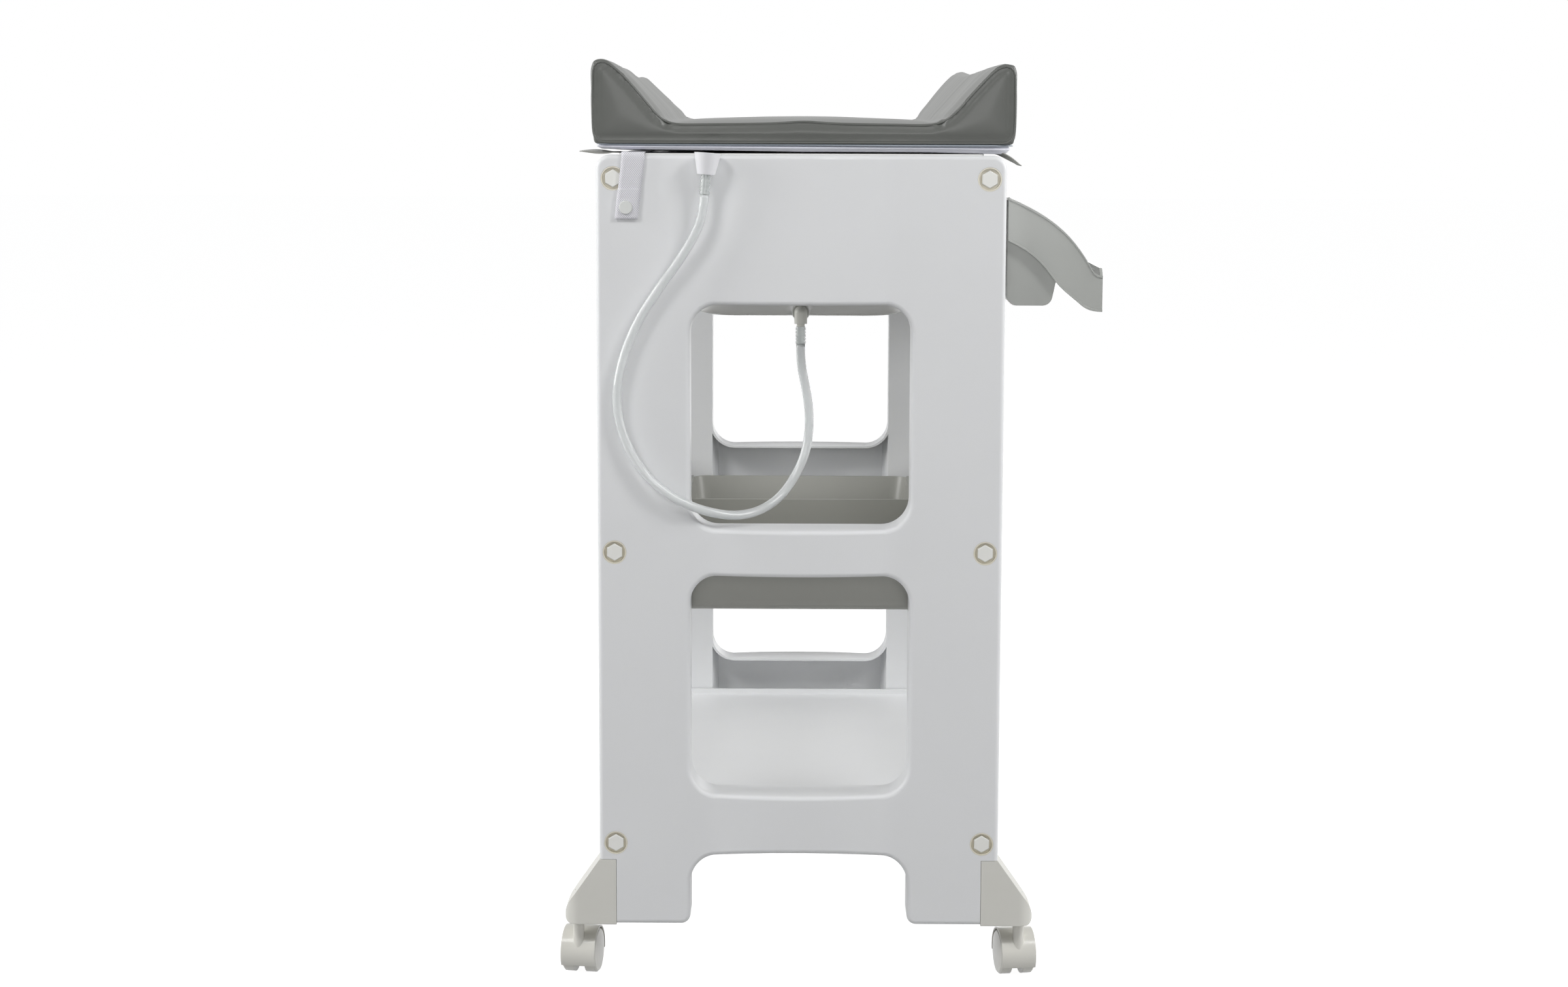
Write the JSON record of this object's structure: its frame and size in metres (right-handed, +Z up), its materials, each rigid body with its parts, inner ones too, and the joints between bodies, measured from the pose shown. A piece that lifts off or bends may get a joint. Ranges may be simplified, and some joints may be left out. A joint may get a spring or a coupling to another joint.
{
  "type": "changing table with bathtub",
  "caption": "Infant changing table: padded mat over a bathtub with a drain hose, between two moulded end panels with shelves, an accessory tray and castors.",
  "frame": {"origin": "on the floor, under the middle of the whole table without its drain hose", "axes": "+Z up, +X towards the side where the accessory tray hangs and the user stands, -Y towards the end panel with the drain hose"},
  "size_m": [0.6014, 0.881, 1.0237],
  "materials": {
    "panel_plastic": "cool white moulded plastic, finely textured",
    "coated_steel": "white powder coat on steel tube",
    "steel": "plain zinc-plated steel",
    "washer_plastic": "cream moulded plastic",
    "white_bolt": "white coated steel",
    "foot_plastic": "cream moulded plastic",
    "castor_plastic": "cream moulded plastic, slightly glossy",
    "tub_plastic": "white moulded plastic, glossy",
    "seal_rubber": "dark soft rubber",
    "elbow_plastic": "grey-white moulded plastic",
    "clear_connector": "clear moulded plastic",
    "cup_plastic": "white moulded plastic",
    "clear_hose": "clear soft plastic tubing",
    "tray_plastic": "light grey moulded plastic",
    "shelf_plastic": "light grey moulded plastic",
    "grey_vinyl": "grey vinyl over foam, darker end faces",
    "base_board": "white stiff board in a white vinyl cover",
    "webbing": "white woven webbing",
    "snap_metal": "white painted snap"
  },
  "bodies": {
    "frame": {"left_end_panel": "panel_plastic", "right_end_panel": "panel_plastic", "back_top_tube": "coated_steel", "front_top_tube": "coated_steel", "back_middle_tube": "coated_steel", "front_middle_tube": "coated_steel", "back_bottom_tube": "coated_steel", "front_bottom_tube": "coated_steel", "left_tube_inserts": "steel", "right_tube_inserts": "steel", "left_panel_washers": "washer_plastic", "right_panel_washers": "washer_plastic", "left_panel_bolts": "white_bolt", "right_panel_bolts": "white_bolt", "left_front_foot": "foot_plastic", "left_back_foot": "foot_plastic", "right_front_foot": "foot_plastic", "right_back_foot": "foot_plastic", "left_front_castor_stem": "steel", "left_back_castor_stem": "steel", "right_front_castor_stem": "steel", "right_back_castor_stem": "steel", "bathtub": "tub_plastic", "drain_seal": "seal_rubber", "drain_elbow": "elbow_plastic", "elbow_connector": "clear_connector", "cup_connector": "clear_connector", "hose_cup": "cup_plastic", "drain_hose": "clear_hose", "accessory_tray": "tray_plastic", "middle_shelf": "shelf_plastic", "lower_shelf": "panel_plastic"},
    "mat": {"mat_cushion": "grey_vinyl", "mat_base": "base_board", "left_mat_tabs": "grey_vinyl", "right_mat_tabs": "grey_vinyl", "left_strap": "webbing", "right_strap": "webbing", "left_snap": "snap_metal", "right_snap": "snap_metal"},
    "left_front_castor": {"left_front_castor_hood": "castor_plastic", "left_front_castor_axle": "steel"},
    "left_front_inner": {"left_front_inner_wheel": "castor_plastic"},
    "left_front_outer": {"left_front_outer_wheel": "castor_plastic"},
    "left_back_castor": {"left_back_castor_hood": "castor_plastic", "left_back_castor_axle": "steel"},
    "left_back_inner": {"left_back_inner_wheel": "castor_plastic"},
    "left_back_outer": {"left_back_outer_wheel": "castor_plastic"},
    "right_front_castor": {"right_front_castor_hood": "castor_plastic", "right_front_castor_axle": "steel"},
    "right_front_inner": {"right_front_inner_wheel": "castor_plastic"},
    "right_front_outer": {"right_front_outer_wheel": "castor_plastic"},
    "right_back_castor": {"right_back_castor_hood": "castor_plastic", "right_back_castor_axle": "steel"},
    "right_back_inner": {"right_back_inner_wheel": "castor_plastic"},
    "right_back_outer": {"right_back_outer_wheel": "castor_plastic"}
  },
  "joints": [
    {"name": "mat_lift", "type": "slide", "parent": "frame", "child": "mat", "axis": [0, 0, 1], "range_m": [0, 0.12]},
    {"name": "left_front_castor_swivel", "type": "hinge", "parent": "frame", "child": "left_front_castor", "pos_m": [0.21574, -0.395, 0.055], "axis": [0, 0, 1], "continuous": true},
    {"name": "left_front_inner_spin", "type": "hinge", "parent": "left_front_castor", "child": "left_front_inner", "pos_m": [0.21261, -0.37525, 0.025], "axis": [0.9877, 0.1564, 0], "continuous": true},
    {"name": "left_front_outer_spin", "type": "hinge", "parent": "left_front_castor", "child": "left_front_outer", "pos_m": [0.21261, -0.37525, 0.025], "axis": [0.9877, 0.1564, 0], "continuous": true},
    {"name": "left_back_castor_swivel", "type": "hinge", "parent": "frame", "child": "left_back_castor", "pos_m": [-0.28026, -0.395, 0.055], "axis": [0, 0, 1], "continuous": true},
    {"name": "left_back_inner_spin", "type": "hinge", "parent": "left_back_castor", "child": "left_back_inner", "pos_m": [-0.27713, -0.37525, 0.025], "axis": [0.9877, -0.1564, 0], "continuous": true},
    {"name": "left_back_outer_spin", "type": "hinge", "parent": "left_back_castor", "child": "left_back_outer", "pos_m": [-0.27713, -0.37525, 0.025], "axis": [0.9877, -0.1564, 0], "continuous": true},
    {"name": "right_front_castor_swivel", "type": "hinge", "parent": "frame", "child": "right_front_castor", "pos_m": [0.21574, 0.395, 0.055], "axis": [0, 0, 1], "continuous": true},
    {"name": "right_front_inner_spin", "type": "hinge", "parent": "right_front_castor", "child": "right_front_inner", "pos_m": [0.21261, 0.37525, 0.025], "axis": [0.9877, -0.1564, 0], "continuous": true},
    {"name": "right_front_outer_spin", "type": "hinge", "parent": "right_front_castor", "child": "right_front_outer", "pos_m": [0.21261, 0.37525, 0.025], "axis": [0.9877, -0.1564, 0], "continuous": true},
    {"name": "right_back_castor_swivel", "type": "hinge", "parent": "frame", "child": "right_back_castor", "pos_m": [-0.28026, 0.395, 0.055], "axis": [0, 0, 1], "continuous": true},
    {"name": "right_back_inner_spin", "type": "hinge", "parent": "right_back_castor", "child": "right_back_inner", "pos_m": [-0.27713, 0.37525, 0.025], "axis": [0.9877, 0.1564, 0], "continuous": true},
    {"name": "right_back_outer_spin", "type": "hinge", "parent": "right_back_castor", "child": "right_back_outer", "pos_m": [-0.27713, 0.37525, 0.025], "axis": [0.9877, 0.1564, 0], "continuous": true}
  ]
}
